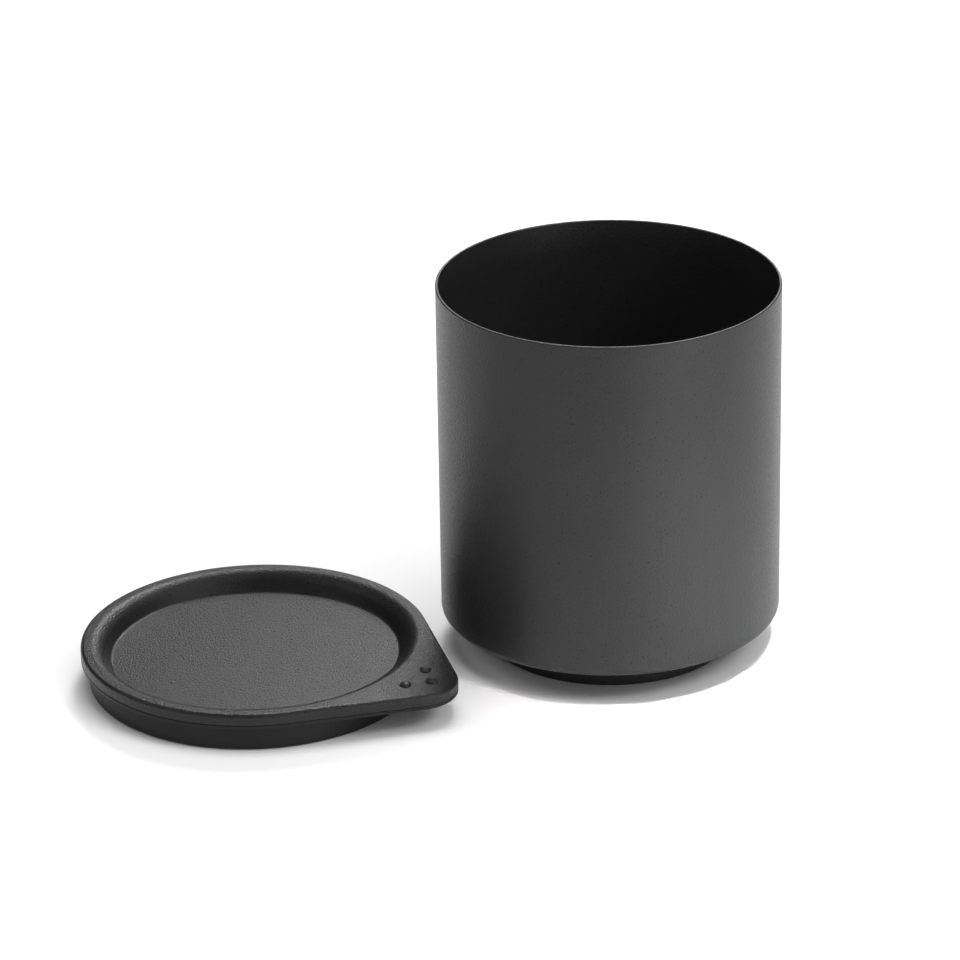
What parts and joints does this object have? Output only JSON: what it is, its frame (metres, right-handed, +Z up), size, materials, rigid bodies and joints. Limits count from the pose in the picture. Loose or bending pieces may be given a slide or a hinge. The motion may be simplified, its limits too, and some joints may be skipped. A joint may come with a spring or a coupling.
{
  "type": "storage pot with lift-off lid",
  "caption": "Round open-topped storage pot of coated steel on an inset foot, with a drop-shaped dished lid lying beside it.",
  "frame": {"origin": "centre of the flat underside of the pot's foot, on the surface that the pot and the lid stand on", "axes": "+Z up along the pot's axis, -Y towards the viewer, the lid on the -X side"},
  "size_m": [0.1601, 0.0978, 0.0874],
  "materials": {
    "pot_coating": "dark grey powder coat with a fine grain, matt to satin",
    "foot_plastic": "dark grey, smooth, matt",
    "lid_cover_plastic": "dark grey with a fine moulded grain, matt",
    "lid_base_plastic": "dark grey, smoother than the cover, matt"
  },
  "bodies": {
    "pot": {"pot_shell": "pot_coating", "pot_foot": "foot_plastic"},
    "lid": {"lid_cover": "lid_cover_plastic", "lid_base": "lid_base_plastic"}
  },
  "joints": [
    {"name": "lid_lift", "type": "slide", "parent": "pot", "child": "lid", "axis": [0, 0, 1], "range_m": [0, 0.1]}
  ]
}
